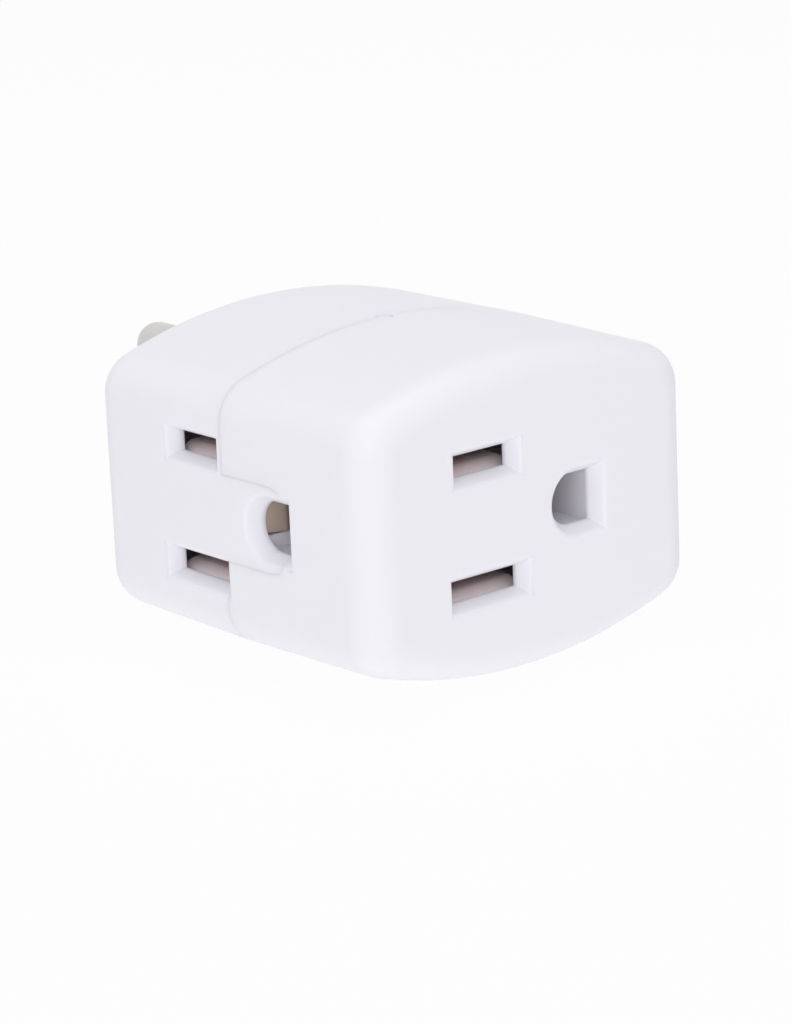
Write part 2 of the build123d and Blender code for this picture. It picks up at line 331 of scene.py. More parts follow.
    def copy(self, name: str) -> "Workpiece":
        """Make a copy with its own mesh.

        Args:
            name: Name of the copy.

        Returns:
            The copy.
        """
        self.focus()
        bpy.ops.object.duplicate(linked=False)
        return Workpiece(name)

    def place(self, matrix: Matrix) -> "Workpiece":
        """Move the piece.

        Args:
            matrix: How it is moved.

        Returns:
            This piece.
        """
        self.obj.matrix_world = matrix
        self.apply_place()
        return self

    def discard(self) -> None:
        """Remove the piece from the bench."""
        mesh = self.obj.data
        bpy.data.objects.remove(self.obj)
        bpy.data.meshes.remove(mesh)

    def merge(self) -> None:
        """Merge points that lie together, drop faces without area and turn all faces outwards."""
        with self.editing():
            bpy.ops.mesh.select_all(action="SELECT")
            bpy.ops.mesh.remove_doubles(threshold=SAME_PLACE)
            bpy.ops.mesh.dissolve_degenerate(threshold=SAME_PLACE)
            bpy.ops.mesh.normals_make_consistent(inside=False)

    def soften(self, width: float, angle: float) -> None:
        """Round every edge that is sharper than an angle.

        Args:
            width: Width of the rounding.
            angle: Smallest angle between two faces that counts as an edge, in degrees.
        """
        self.modify(
            "BEVEL", width=width, segments=SOFT_STEPS,
            limit_method="ANGLE", angle_limit=math.radians(angle),
            use_clamp_overlap=False, miter_outer="MITER_ARC", loop_slide=True,
        )

    def finish(self, slot: Slot, material: Material, *nodes: str) -> bpy.types.Object:
        """Shade the piece, bring it to metres, give it its finish, attach it to the body and hide the
        CAD nodes it takes the place of.

        Args:
            slot: The record's material slot; not used.
            material: Finish of the piece.
            nodes: CAD nodes that are hidden in its place.

        Returns:
            The finished object.
        """
        self.focus()
        bpy.ops.object.shade_smooth_by_angle(angle=SHADE_ANGLE)
        self.modify("WEIGHTED_NORMAL", keep_sharp=True, weight=NORMAL_WEIGHT, mode="FACE_AREA")
        self.obj.scale = (MILLIMETRE,) * 3
        self.apply_place()
        self.obj.data.materials.clear()
        self.obj.data.materials.append(material)
        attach(self.obj, BODY)
        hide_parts(*nodes)
        log.info("%s: %d faces", self.obj.name, len(self.obj.data.polygons))
        return self.obj


@dataclass
class Housing:
    """The two moulded shells, in millimetres. The body's reach comes from the frame."""

    # Body
    body_height: float = 33.6
    side_height: float = 25.1
    parting_y: float = -22.0
    draft: float = 0.75
    corner_radius: float = 4.5
    face_radius: float = 3.7
    wall: float = 2.0
    back_wall: float = 3.0
    # Seam, tongues and lip
    shell_gap: float = 0.012
    tongue_height: float = 9.0
    tongue_gap: float = 0.012
    tongue_tip_step: float = 0.85
    clearance: float = 0.1
    lip_length: float = 1.5
    lip_thickness: float = 0.9
    lip_span: float = 28.0
    gate_diameter: float = 2.0
    gate_depth: float = 0.3
    # Outlets
    blade_pitch: float = 12.7
    earth_offset: float = 11.89
    front_blade_x: float = -6.1
    side_blade_offset: float = 5.0
    line_slot: float = 7.3
    neutral_slot: float = 9.05
    slot_height: float = 2.35
    earth_radius: float = 2.7
    flare_depth: float = 1.4
    slot_flare: float = 0.75
    earth_flare: float = 0.9
    mouth_depth: float = 2.4
    rim_round: float = 0.35
    # How far the outlet's face and the flare look outwards at a rim, as cosines
    rim_face: float = 0.99
    rim_flare: Pair = (0.35, 0.65)
    # Channels behind the earth holes; the hidden sill is higher, so that no light shows past it
    guide_wall: float = 1.0
    guide_depth: float = 8.2
    guide_reach: float = 1.0
    guide_room: float = 0.2
    sill_top: float = -1.65
    hidden_sill_top: float = -1.46
    cut_over: float = 2.0
    # Ribs
    rib_thickness: float = 1.2
    rib_length: float = 5.0
    rear_rib: Pair = (5.4, -12.0)
    front_rib: Pair = (0.925, -27.0)
    # Facets of the round forms
    crown_steps: int = 40
    corner_steps: int = 14
    face_steps: int = 16
    rim_steps: int = 4
    arc_sides: int = 96
    half_width: float = field(init=False)
    half_height: float = field(init=False)
    front_y: float = field(init=False)
    rear_y: float = field(init=False)

    def __post_init__(self) -> None:
        """Read the reach of the shells from the frame."""
        low, high = (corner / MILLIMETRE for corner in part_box("front_shell"))
        self.half_width = high.x
        self.half_height = self.body_height / 2
        self.front_y = low.y
        self.rear_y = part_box("rear_shell")[1].y / MILLIMETRE

    def outlet(self, face: Face) -> Matrix:
        """Axes of an outlet: x to the viewer's right along the slots, y up, z outwards.

        Args:
            face: The face that carries the outlet.

        Returns:
            The matrix from those axes to the part's own.
        """
        x, y, turn = {
            Face.FRONT: (self.front_blade_x, self.front_y, 0),
            Face.LEFT: (-self.half_width, self.parting_y + self.side_blade_offset, -90),
            Face.RIGHT: (self.half_width, self.parting_y - self.side_blade_offset, 90),
        }[face]
        return Matrix.Translation((x, y, 0)) @ turned(90, 0, turn)

    def barrel(self, name: str, inset: float, front_wall: float, rear_wall: float) -> Workpiece:
        """Barrel with crowned top and bottom, drafted both ways from the parting plane.

        A line along the crown is spun out to the corner, spun round the corner and drawn down to
        half height. Mirrors make the other three quarters, and the two ends are closed and rounded.

        Args:
            name: Name of the piece.
            inset: How far the barrel lies inside the outer surface.
            front_wall: How far its front end lies behind the front face.
            rear_wall: How far its rear end lies in front of the plug face.

        Returns:
            The closed barrel.
        """
        width = self.half_width - inset
        crown = self.half_height - inset
        sag = self.half_height - self.side_height / 2
        crown_radius = (width**2 + sag**2) / (2 * sag)
        corner = self.corner_radius - inset
        centre_z = crown - crown_radius
        corner_x = width - corner
        corner_z = centre_z + math.sqrt((crown_radius - corner) ** 2 - corner_x**2)
        swing = math.atan2(corner_x, corner_z - centre_z)
        front = self.front_y + front_wall
        rear = self.rear_y - rear_wall

        piece = Workpiece.edge(name, Vector((0, front, crown)), Vector((0, rear, crown)))
        with piece.editing():
            bpy.ops.mesh.select_all(action="SELECT")
            bpy.ops.mesh.subdivide(number_cuts=1)
            middle = (front + rear) / 2
            piece.pick(Pick.VERTEX, lambda vertex: abs(vertex.co.y - middle) < SAME_PLACE)
            bpy.ops.transform.translate(value=(0, self.parting_y - middle, 0))
            bpy.ops.mesh.select_all(action="SELECT")
            piece.sweep(self.crown_steps, swing, (0, 0, centre_z), (0, -1, 0))
            piece.sweep(self.corner_steps, math.pi / 2 - swing, (corner_x, 0, corner_z), (0, -1, 0))
            piece.push((0, 0, -corner_z))
            for end in (front, rear):
                lean = abs(end - self.parting_y) * math.tan(math.radians(self.draft))
                piece.pick(Pick.VERTEX, lambda vertex: abs(vertex.co.y - end) < SAME_PLACE)
                piece.stretch(((width - lean) / width, 1, (crown - lean) / crown), Vector((0, end, 0)))
        piece.modify("MIRROR", use_axis=(True, False, True), merge_threshold=SAME_PLACE)
        with piece.editing():
            for end in (front, rear):
                piece.pick(Pick.EDGE, lambda edge: piece.at_level(edge, "y", end))
                bpy.ops.mesh.edge_face_add()
            piece.pick(
                Pick.EDGE, lambda edge: any(piece.at_level(edge, "y", end) for end in (front, rear)))
            piece.round_off(self.face_radius - inset, self.face_steps)
        piece.merge()
        return piece

    def flare(self, piece: Workpiece, reach: Pair, growth: float) -> Workpiece:
        """Carry a cutter from the straight part of an opening out through its flared part.

        Args:
            piece: Cutter of the straight part.
            reach: Half length and half height of the straight part.
            growth: How far each side leans out at the face.

        Returns:
            The whole cutter, which stands out past the face.
        """
        spread = growth * (1 + self.cut_over / self.flare_depth)
        with piece.editing():
            piece.pick_facing(Vector((0, 0, 1)))
            piece.push((0, 0, self.flare_depth + self.cut_over))
            factors = ((reach[0] + spread) / reach[0], (reach[1] + spread) / reach[1], 1)
            piece.stretch(factors, Vector((0, 0, 0)))
        return piece

    def slot_cutter(self, length: float) -> Workpiece:
        """Cutter of a blade slot.

        Args:
            length: Length of the slot.

        Returns:
            The cutter, on the outlet's own axes.
        """
        reach = (length / 2, self.slot_height / 2)
        low = (-reach[0], -reach[1], -self.mouth_depth)
        piece = Workpiece.cube("slot_cutter", low, (*reach, -self.flare_depth))
        return self.flare(piece, reach, self.slot_flare)

    def earth_cutter(self) -> Workpiece:
        """Cutter of the D-shaped earth hole, round towards the blades and flat on the far side.

        Returns:
            The cutter, on the outlet's own axes about the middle of the hole.
        """
        radius = self.earth_radius
        piece = Workpiece.cylinder(
            "earth_cutter", radius, -self.mouth_depth, -self.flare_depth, sides=self.arc_sides)
        piece.trim((0, 0, 0), (1, 0, 0))
        with piece.editing():
            piece.pick_facing(Vector((1, 0, 0)))
            piece.push((radius, 0, 0))
            piece.clear_flats()
        return self.flare(piece, (radius, radius), self.earth_flare)

    def openings(self) -> list[Workpiece]:
        """Cutters of all three outlets.

        Returns:
            Two slots and an earth hole for each outlet, in place.
        """
        half_pitch = self.blade_pitch / 2
        cutters = []
        for face in Face:
            seat = self.outlet(face)
            for length, height in ((self.line_slot, half_pitch), (self.neutral_slot, -half_pitch)):
                slot_seat = seat @ Matrix.Translation((0, height, 0))
                cutters.append(self.slot_cutter(length).place(slot_seat))
            earth_seat = seat @ Matrix.Translation((self.earth_offset, 0, 0))
            cutters.append(self.earth_cutter().place(earth_seat))
        return cutters

    def tongue(self, face: Face, gap: float) -> Workpiece:
        """Wall that one shell reaches round the earth hole of a side outlet, into the other shell.

        Args:
            face: The side that carries it.
            gap: Room round it.

        Returns:
            A prism with the tongue's outline, through the wall.
        """
        root = self.side_blade_offset - self.wall
        tip = self.earth_offset + self.earth_radius - self.tongue_tip_step + gap
        radius = self.tongue_height / 2 + gap
        inner = -self.wall - self.clearance - gap
        piece = Workpiece.cylinder(
            "tongue", radius, inner, self.wall, (self.earth_offset, 0), self.arc_sides)
        piece.trim((self.earth_offset, 0, 0), (-1, 0, 0))
        piece.trim((tip, 0, 0), (1, 0, 0))
        with piece.editing():
            piece.pick_facing(Vector((-1, 0, 0)))
            piece.push((root - self.earth_offset, 0, 0))
            piece.clear_flats()
        return piece.place(self.outlet(face))

    def region(self, front: bool) -> Workpiece:
        """Space that one shell may fill, with the tongue it gives and the one it takes.

        Args:
            front: True for the front shell.

        Returns:
            The space as a solid.
        """
        reach = 2 * self.half_width
        half_gap = self.shell_gap / 2
        if front:
            low, high = self.front_y - reach, self.parting_y - half_gap
        else:
            low, high = self.parting_y + half_gap, self.rear_y + reach
        given, taken = (Face.RIGHT, Face.LEFT) if front else (Face.LEFT, Face.RIGHT)
        space = Workpiece.cube("region", (-reach, low, -reach), (reach, high, reach))
        if front:
            space.combine(Cut.JOIN, self.tongue(given, 0), self.lip(0))
            return space.combine(Cut.REMOVE, self.tongue(taken, self.tongue_gap))
        space.combine(Cut.JOIN, self.tongue(given, 0))
        rebate = self.lip(self.clearance)
        return space.combine(Cut.REMOVE, self.tongue(taken, self.tongue_gap), rebate)

    def earth_guide(self, face: Face) -> Workpiece:
        """Channel behind an earth hole; towards the blades it is a low sill under the contact leaf.

        Args:
            face: The face that carries it.

        Returns:
            The channel's walls, in place.
        """
        room = self.earth_radius + self.guide_room
        side = self.earth_radius + self.guide_wall
        over = side + self.cut_over
        far = -self.guide_depth - self.cut_over
        sill = self.hidden_sill_top if face is Face.RIGHT else self.sill_top
        walls = Workpiece.cube(
            "guide", (-side, -side, -self.guide_depth), (side, side, -self.wall / 2))
        channel = Workpiece.cube("channel", (-room, -room, far), (room, room, self.wall))
        walls.combine(Cut.REMOVE, channel)
        leaf_side = Workpiece.cube(
            "leaf_side", (-over, sill, far), (-self.guide_reach, over, self.wall))
        walls.combine(Cut.REMOVE, leaf_side)
        return walls.place(self.outlet(face) @ Matrix.Translation((self.earth_offset, 0, 0)))

    def lip(self, gap: float) -> Workpiece:
        """Space of the front shell's inner lip along the crowned walls, or with a gap its rebate.

        Args:
            gap: Room round the lip.

        Returns:
            The space as a solid.
        """
        half_span = self.lip_span / 2 + gap
        low = (-half_span, self.parting_y - self.wall / 2, -self.half_width)
        high = (half_span, self.parting_y + self.lip_length + gap, self.half_width)
        space = Workpiece.cube("lip", low, high)
        inset = self.wall - self.lip_thickness - gap
        outside = self.barrel("lip_outside", inset, self.wall, self.back_wall)
        return space.combine(Cut.KEEP, outside)

    def rib(self, place: Pair, strip: str, top: bool) -> Workpiece:
        """Rib from a crowned wall to the outer face of a brass strip, which it holds down.

        Args:
            place: Middle of the rib in plan.
            strip: CAD node of the strip.
            top: True for the top wall.

        Returns:
            The rib, sunk halfway into the wall.
        """
        low, high = (corner.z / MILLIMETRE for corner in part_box(strip))
        inside = self.half_height - self.wall / 2
        levels = (high, inside) if top else (-inside, low)
        (x, y), along, across = place, self.rib_length / 2, self.rib_thickness / 2
        return Workpiece.cube(
            "rib", (x - along, y - across, levels[0]), (x + along, y + across, levels[1]))

    def plug_holes(self) -> list[Workpiece]:
        """Cutters of the holes in the plug face, a working fit round the blades and the earth pin.

        Returns:
            The three cutters, in place.
        """
        cutters = []
        for node in ("line_blade", "neutral_blade"):
            low, high = (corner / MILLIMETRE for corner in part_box(node))
            half = BLADE_WIDTHS[node] / 2 + self.clearance
            middle = (low.z + high.z) / 2
            cutters.append(Workpiece.cube(
                "blade_hole",
                (low.x - self.clearance, -2 * self.back_wall, middle - half),
                (high.x + self.clearance, self.back_wall, middle + half),
            ))
        low, high = (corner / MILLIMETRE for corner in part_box("ground_pin"))
        hole = Workpiece.cylinder(
            "pin_hole", PIN_ROOT_RADIUS + self.clearance, -self.back_wall, 2 * self.back_wall)
        cutters.append(hole.place(Matrix.Translation((0, 0, (low.z + high.z) / 2)) @ turned(90)))
        return cutters

    def gate_mark(self) -> Workpiece:
        """Shallow round witness mark on the crown, at the parting line."""
        base, top = self.half_height - self.gate_depth, self.half_height + self.gate_depth
        return Workpiece.cylinder("gate_mark", self.gate_diameter / 2, base, top, (0, self.parting_y))

    def round_rims(self, shell: Workpiece) -> None:
        """Round the rims of the outlet openings, while each is still whole.

        Args:
            shell: The shell that is worked on.
        """
        outward = [self.outlet(face).to_3x3() @ Vector((0, 0, 1)) for face in Face]
        with shell.editing():
            found = shell.pick(Pick.EDGE, lambda edge: any(self.is_rim(edge, out) for out in outward))
            log.info("%s: %d rim edges", shell.obj.name, found)
            shell.round_off(self.rim_round, self.rim_steps)

    def is_rim(self, edge: Any, out: Vector) -> bool:
        """Tell whether an edge lies between a face that looks outwards and the flare of an opening."""
        (low, high), looks = self.rim_flare, sorted(face.normal.dot(out) for face in edge.link_faces)
        return len(looks) == 2 and looks[1] > self.rim_face and low < looks[0] < high

    def mark_crease(self, shell: Workpiece) -> None:
        """Keep the crease between the two drafts crisp where it crosses a tongue.

        Args:
            shell: The shell that is worked on.
        """
        with shell.editing():
            shell.pick(Pick.EDGE, lambda edge: shell.at_level(edge, "y", self.parting_y))
            bpy.ops.mesh.mark_sharp()

    def build(self, material: Material) -> list[bpy.types.Object]:
        """Mould both shells and dress them.

        Args:
            material: Finish of the shells.

        Returns:
            The front shell and the rear shell.
        """
        front = self.barrel("front_moulding", 0, 0, 0)
        front.combine(Cut.REMOVE, self.barrel("cavity", self.wall, self.wall, self.back_wall))
        rear = front.copy("rear_moulding")
        front.combine(
            Cut.JOIN,
            self.earth_guide(Face.FRONT),
            self.earth_guide(Face.LEFT),
            self.rib(self.front_rib, "line_busbar", True),
            self.rib(self.front_rib, "neutral_busbar", False),
        )
        rear_x, rear_y = self.rear_rib
        rear.combine(
            Cut.JOIN,
            self.earth_guide(Face.RIGHT),
            self.rib((-rear_x, rear_y), "line_busbar", True),
            self.rib((rear_x, rear_y), "neutral_busbar", False),
        )
        for shell in (front, rear):
            shell.combine(Cut.REMOVE, *self.openings(), *self.plug_holes(), self.gate_mark())
            shell.merge()
            self.round_rims(shell)
        front.combine(Cut.KEEP, self.region(True))
        rear.combine(Cut.KEEP, self.region(False))
        for shell in (front, rear):
            shell.merge()
            self.mark_crease(shell)
        return [
            front.finish(Slot.PLASTIC, material, "front_shell"),
            rear.finish(Slot.PLASTIC, material, "rear_shell"),
        ]


@dataclass
class Prongs:
    """The plug's two blades and its round earth pin, in millimetres."""

    blade_length: float = 17.5
    blade_corner: float = 1.2
    blade_bevel: float = 0.45
    hole_diameter: float = 3.2
    hole_distance: float = 11.7
    rivet_hole_diameter: float = 1.9
    rivet_distance: float = -7.6
    shoulder_start: float = -3.0
    shoulder_step: float = 1.2
    shoulder_length: float = 2.5
    tail_width: float = 6.0
    pin_diameter: float = 4.8
    pin_steps: tuple[Pair, ...] = ((5.4, 3.0), (7.0, 1.2), (3.0, 0.8), (4.4, 0.8))
    pin_sides: int = 72
    dome_steps: int = 18
    dome_share: float = 0.98
    joint_overlap: float = 1.0
    edge_round: float = 0.08
    blade_edge_angle: float = 20
    pin_edge_angle: float = 30

    def blade(self, node: str, width: float, material: Material) -> bpy.types.Object:
        """Flat blade with clipped, bevelled tip, its shoulder and its riveted tail.

        Args:
            node: CAD node that the blade stands for.
            width: Width of the blade.
            material: Finish of the blade.

        Returns:
            The finished blade.
        """
        low, high = (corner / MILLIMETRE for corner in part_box(node))
        middle = (low.z + high.z) / 2
        half, half_tail = width / 2, self.tail_width / 2
        blade_start = self.shoulder_start - self.joint_overlap
        shoulder_end = self.shoulder_start - self.shoulder_length
        tail_start = shoulder_end + self.joint_overlap
        piece = Workpiece.cube(
            node + "_plated",
            (low.x, blade_start, middle - half),
            (high.x, self.blade_length, middle + half),
        )
        with piece.editing():
            piece.pick(Pick.EDGE, lambda edge: self.crosses_tip(edge, Vector((1, 0, 0))))
            bpy.ops.mesh.bevel(offset=self.blade_corner, segments=1, affect="EDGES")
            piece.pick(Pick.EDGE, lambda edge: self.crosses_tip(edge, Vector((0, 0, 1))))
            bpy.ops.mesh.bevel(offset=self.blade_bevel, segments=1, affect="EDGES")
        reach = half + self.shoulder_step
        shoulder = Workpiece.cube(
            "shoulder",
            (low.x, shoulder_end, middle - reach),
            (high.x, self.shoulder_start, middle + reach),
        )
        tail = Workpiece.cube(
            "tail", (low.x, low.y, middle - half_tail), (high.x, tail_start, middle + half_tail))
        piece.combine(Cut.JOIN, shoulder)
        piece.combine(Cut.JOIN, tail)
        holes = []
        for distance, diameter in (
            (self.hole_distance, self.hole_diameter), (self.rivet_distance, self.rivet_hole_diameter)
        ):
            hole = Workpiece.cylinder("hole", diameter / 2, -width, width)
            seat = Matrix.Translation(((low.x + high.x) / 2, distance, middle))
            holes.append(hole.place(seat @ turned(y=90)))
        piece.combine(Cut.REMOVE, *holes)
        with piece.editing():
            piece.clear_flats()
        piece.merge()
        piece.soften(self.edge_round, self.blade_edge_angle)
        return piece.finish(Slot.PLATED, material, node)

    def crosses_tip(self, edge: Any, along: Vector) -> bool:
        """Tell whether an edge lies at the tip of a blade and runs along a unit vector."""
        run = (edge.verts[1].co - edge.verts[0].co).normalized().dot(along)
        return Workpiece.at_level(edge, "y", self.blade_length) and abs(run) > 1 - SAME_PLACE

    def pin(self, node: str, material: Material) -> bpy.types.Object:
        """Round earth pin with a domed end, and the steps of its root behind the plug face.

        Args:
            node: CAD node that the pin stands for.
            material: Finish of the pin.

        Returns:
            The finished pin.
        """
        low, high = (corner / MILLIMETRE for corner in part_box(node))
        radius = self.pin_diameter / 2
        piece = Workpiece.cylinder(node + "_plated", radius, 0, high.y, sides=self.pin_sides)
        with piece.editing():
            piece.pick(Pick.EDGE, lambda edge: piece.at_level(edge, "z", high.y))
            piece.round_off(radius * self.dome_share, self.dome_steps)
            piece.pick_facing(Vector((0, 0, -1)))
            present, level = self.pin_diameter, 0.0
            for diameter, length in self.pin_steps:
                piece.push((0, 0, 0))
                factor = diameter / present
                piece.stretch((factor, factor, 1), Vector((0, 0, -level)))
                piece.push((0, 0, -length))
                present, level = diameter, level + length
        piece.merge()
        piece.soften(self.edge_round, self.pin_edge_angle)
        piece.place(Matrix.Translation((0, 0, (low.z + high.z) / 2)) @ turned(-90))
        return piece.finish(Slot.PLATED, material, node)

    def build(self, material: Material) -> list[bpy.types.Object]:
        """Make both blades and the pin with one finish."""
        blades = [self.blade(node, width, material) for node, width in BLADE_WIDTHS.items()]
        return [*blades, self.pin("ground_pin", material)]


@dataclass
class Contacts:
    """The hairpin springs that grip a plug's blades, in millimetres, on an outlet's own axes."""

    housing: Housing
    overlap: float = 1.0
    thickness: float = 0.45
    mouth: Pair = (2.4, 1.575)
    lip_angles: Pair = (62, 6)
    lip_radius: float = 1.95
    lip_steps: int = 16
    pinch: Pair = (6.5, 0.5)
    base: Pair = (11.0, 1.2)
    back: float = 17.75
    back_steps: int = 16
    rivet_at: float = 14.0
    rivet_hole_diameter: float = 1.9
    edge_round: float = 0.06
    edge_angle: float = 50

    def hairpin(self, name: str, width: float, rivet_side: int) -> Workpiece:
        """Spring strip with rolled lips, a pinch, a flat base and a round back.

        One half of the strip is drawn from its lip to the middle of its back, with the depth along x,
        the width along y and the gap along z. A mirror makes the other half.

        Args:
            name: Name of the piece.
            width: Width of the strip.
            rivet_side: 1 for a rivet hole in the upper leaf, -1 for the lower one.

        Returns:
            The spring on the bench.
        """
        depth, gap = self.mouth
        half, radius = width / 2, self.lip_radius
        piece = Workpiece.edge(name, Vector((depth, -half, gap)), Vector((depth, half, gap)))
        steep, slight = (math.radians(angle) for angle in self.lip_angles)
        roll_depth, roll_gap = depth + radius * math.sin(steep), gap + radius * math.cos(steep)
        throat = (roll_depth - radius * math.sin(slight), roll_gap - radius * math.cos(slight))
        stops = [throat, self.pinch, self.base, (self.back - self.base[1], self.base[1])]
        with piece.editing():
            bpy.ops.mesh.select_all(action="SELECT")
            piece.sweep(self.lip_steps, steep - slight, (roll_depth, 0, roll_gap), (0, 1, 0))
            for start, end in zip(stops, stops[1:]):
                piece.push((end[0] - start[0], 0, end[1] - start[1]))
            piece.sweep(self.back_steps, math.pi / 2, (stops[-1][0], 0, 0), (0, -1, 0))
        piece.modify("MIRROR", use_axis=(False, False, True), merge_threshold=SAME_PLACE)
        piece.merge()
        piece.modify("SOLIDIFY", thickness=self.thickness, offset=1, use_even_offset=True)
        # The drill reaches from one thickness before the leaf to one behind it
        levels = sorted(rivet_side * (self.base[1] + share * self.thickness) for share in (-1, 2))
        hole = Workpiece.cylinder("hole", self.rivet_hole_diameter / 2, *levels, (self.rivet_at, 0))
        piece.combine(Cut.REMOVE, hole)
        piece.merge()
        piece.soften(self.edge_round, self.edge_angle)
        return piece

    def build(self, material: Material) -> list[bpy.types.Object]:
        """Make both springs of every outlet.

        Args:
            material: Finish of the springs.

        Returns:
            All the springs.
        """
        # The bench's depth, width and gap, on the outlet's axes
        bench = Matrix(((0, -1, 0, 0), (0, 0, 1, 0), (-1, 0, 0, 0), (0, 0, 0, 1)))
        half_pitch = self.housing.blade_pitch / 2
        poles = (("line", self.housing.line_slot, 1), ("neutral", self.housing.neutral_slot, -1))
        made = []
        for face in Face:
            for pole, slot, side in poles:
                node = f"{pole}_contact_{face.value}"
                piece = self.hairpin(node + "_spring", slot + 2 * self.overlap, side)
                seat = self.housing.outlet(face) @ Matrix.Translation((0, side * half_pitch, 0))
                piece.place(seat @ bench)
                made.append(piece.finish(Slot.SPRING, material, node))
        return made


class Value:
    """Output of a shader node. Arithmetic on it adds Math nodes."""

    def __init__(self, graph: "Graph", socket: bpy.types.NodeSocket) -> None:
        """Hold a socket of a graph."""
        self.graph = graph
        self.socket = socket

    def math(self, operation: str, other: Any) -> "Value":
        """Add a Math node on this and another number or value."""
        return self.graph.node("ShaderNodeMath", {"operation": operation}, {0: self, 1: other})

    def __add__(self, other: Any) -> "Value":
        """Add a number or value."""
        return self.math("ADD", other)

    def __sub__(self, other: Any) -> "Value":
        """Subtract a number or value."""
        return self.math("SUBTRACT", other)

    def __mul__(self, other: Any) -> "Value":
        """Multiply by a number or value."""
        return self.math("MULTIPLY", other)

    def larger(self, other: Any) -> "Value":
        """Take the larger of this and another."""
        return self.math("MAXIMUM", other)

    __radd__ = __add__
    __rmul__ = __mul__


class Graph:
    """Node tree of a material or of the world, filled node by node."""

    def __init__(self, owner: Material | bpy.types.World) -> None:
        """Start with an empty tree.

        Args:
            owner: Material or world that the tree belongs to.
        """
        owner.use_nodes = True
        self.tree = owner.node_tree
        self.tree.nodes.clear()

    def node(
        self, kind: str, settings: dict[str, Any] | None = None,
        inputs: dict[Any, Any] | None = None, output: Any = 0,
    ) -> Value:
        """Add a node.

        Args:
            kind: Type of the node.
            settings: Its settings, set first.
            inputs: Values or links of its sockets, by name or number.
            output: Name or number of the output that is wanted.

        Returns:
            That output.
        """
        made = self.tree.nodes.new(kind)
        for name, value in (settings or {}).items():
            setattr(made, name, value)
        for name, value in (inputs or {}).items():
            if isinstance(value, Value):
                self.tree.links.new(value.socket, made.inputs[name])
            else:
                made.inputs[name].default_value = value
        return Value(self, made.outputs[output] if made.outputs else None)

    def noise(self, place: Value, feature: float, detail: float = 2.0) -> Value:
        """Noise about one half at a place, with features of a size in metres and some finer layers."""
        inputs = {"Vector": place, "Scale": 1 / feature, "Detail": detail}
        return self.node("ShaderNodeTexNoise", inputs=inputs, output="Fac")

    def place(self, stretch: Triple = (1, 1, 1)) -> Value:
        """Place on the piece, in its own frame and in metres, stretched along the axes."""
        here = self.node("ShaderNodeTexCoord", output="Object")
        return self.node("ShaderNodeMapping", inputs={"Vector": here, "Scale": stretch})

    def blend(self, share: Value, first: Numbers, second: Numbers) -> Value:
        """Blend two colours by the share of the second."""
        # By number, because the names repeat: factor, colours A and B, and the colour that comes out
        inputs = {0: share, 6: first, 7: second}
        return self.node("ShaderNodeMix", {"data_type": "RGBA"}, inputs, 2)

    def bump(self, height: Value, strength: float, distance: float) -> Value:
        """Bump from a height, with its strength and its depth in metres."""
        inputs = {"Height": height, "Strength": strength, "Distance": distance}
        return self.node("ShaderNodeBump", inputs=inputs)

    def surface(self, **inputs: Any) -> None:
        """Close the tree with a Principled surface.

        Args:
            inputs: Values or links of its sockets, named with underscores.
        """
        named = {name.replace("_", " "): value for name, value in inputs.items()}
        shader = self.node("ShaderNodeBsdfPrincipled", inputs=named)
        self.node("ShaderNodeOutputMaterial", inputs={"Surface": shader})


@dataclass(frozen=True)
class MouldedPlastic:
    """White injection-moulded plastic with a fine satin grain and faint flow marks."""

    name: str = "white_satin_plastic"
    colour: Numbers = (0.918, 0.906, 0.985, 1)
    flow_colour: Numbers = (0.927, 0.915, 0.989, 1)
    roughness: float = 0.52
    refraction: float = 1.5
    scatter_share: float = 0.25
    scatter_reach: float = 0.0012
    grain_size: float = 0.00022
    flow_size: float = 0.014
    grain_depth: float = 0.000004
    grain_detail: float = 3
    grain_strength: float = 0.35
    grain_gloss: float = 0.08
    flow_gloss: float = 0.1

    def make(self) -> Material:
        """Make the material.

        Returns:
            The material.
        """
        material = bpy.data.materials.new(self.name)
        graph = Graph(material)
        place = graph.place()
        grain = graph.noise(place, self.grain_size, self.grain_detail)
        flow = graph.noise(place, self.flow_size)
        gloss = self.flow_gloss * (flow - NOISE_MEAN) + self.grain_gloss * (grain - NOISE_MEAN)
        graph.surface(
            Base_Color=graph.blend(flow, self.colour, self.flow_colour),
            Roughness=self.roughness + gloss,
            IOR=self.refraction,
            Subsurface_Weight=self.scatter_share,
            Subsurface_Radius=(1, 1, 1),
            Subsurface_Scale=self.scatter_reach,
            Normal=graph.bump(grain, self.grain_strength, self.grain_depth),
        )
        return material


@dataclass(frozen=True)
class DrawnMetal:
    """Bare or plated metal with fine lines along the way it was drawn, and slight tarnish."""

    name: str
    colour: Numbers
    tarnish: Numbers
    roughness: float
    metallic: float = 1.0
    line_width: float = 0.00012
    line_stretch: Triple = (1, 0.05, 1)
    line_detail: float = 3
    line_depth: float = 0.000003
    line_strength: float = 0.4
    line_share: float = 0.3
    line_gloss: float = 0.14
    patch_size: float = 0.003
    patch_detail: float = 4
    patch_share: float = 0.7
    patch_gloss: float = 0.16

    def make(self) -> Material:
        """Make the material.

        Returns:
            The material.
        """
        material = bpy.data.materials.new(self.name)
        graph = Graph(material)
        lines = graph.noise(graph.place(self.line_stretch), self.line_width, self.line_detail)
        patches = graph.noise(graph.place(), self.patch_size, self.patch_detail)
        share = self.patch_share * patches + self.line_share * lines
        gloss = self.patch_gloss * (patches - NOISE_MEAN) + self.line_gloss * (lines - NOISE_MEAN)
        graph.surface(
            Base_Color=graph.blend(share, self.colour, self.tarnish),
            Metallic=self.metallic,
            Roughness=self.roughness + gloss,
            Normal=graph.bump(lines, self.line_strength, self.line_depth),
        )
        return material


